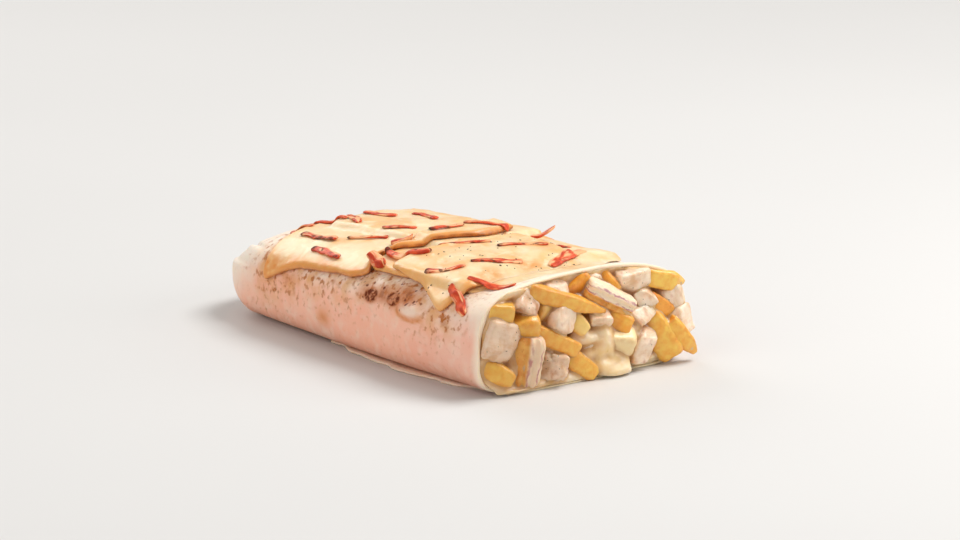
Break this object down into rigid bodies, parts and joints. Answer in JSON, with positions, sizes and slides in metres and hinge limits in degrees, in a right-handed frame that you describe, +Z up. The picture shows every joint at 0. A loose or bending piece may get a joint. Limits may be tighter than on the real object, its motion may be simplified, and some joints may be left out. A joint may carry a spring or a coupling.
{
  "type": "french tacos",
  "caption": "Flat folded wheat tortilla parcel, cut open at its end over fries, chicken and breaded strips in cheese sauce, with melted cheese slices and bacon strips on top.",
  "frame": {"origin": "on the table, under the middle of the parcel", "axes": "+X along the parcel towards its cut end, +Y across it, away from the side with the loose edge of the tortilla, +Z up"},
  "size_m": [0.2114, 0.1121, 0.0522],
  "materials": {
    "tortilla": "soft floury wheat tortilla with toasted spots",
    "filling": "fried potato, chicken and breading in cheese sauce",
    "cheese": "melted cheese slices, slightly glossy",
    "bacon": "fried bacon strips, greasy"
  },
  "bodies": {
    "root": {"tortilla": "tortilla", "filling": "filling", "cheese_slice_back": "cheese", "cheese_slice_right": "cheese", "cheese_slice_left": "cheese", "cheese_slice_front": "cheese", "bacon_strip_01": "bacon", "bacon_strip_02": "bacon", "bacon_strip_03": "bacon", "bacon_strip_04": "bacon", "bacon_strip_05": "bacon", "bacon_strip_06": "bacon", "bacon_strip_07": "bacon", "bacon_strip_08": "bacon", "bacon_strip_09": "bacon", "bacon_strip_10": "bacon", "bacon_strip_11": "bacon", "bacon_strip_12": "bacon", "bacon_strip_13": "bacon", "bacon_strip_14": "bacon", "bacon_strip_15": "bacon", "bacon_strip_16": "bacon", "bacon_strip_17": "bacon", "bacon_strip_18": "bacon", "bacon_strip_19": "bacon", "bacon_strip_20": "bacon", "bacon_strip_21": "bacon", "bacon_strip_22": "bacon", "bacon_strip_23": "bacon", "bacon_strip_24": "bacon", "bacon_strip_25": "bacon", "bacon_strip_26": "bacon", "bacon_strip_27": "bacon", "bacon_strip_28": "bacon"}
  },
  "joints": []
}
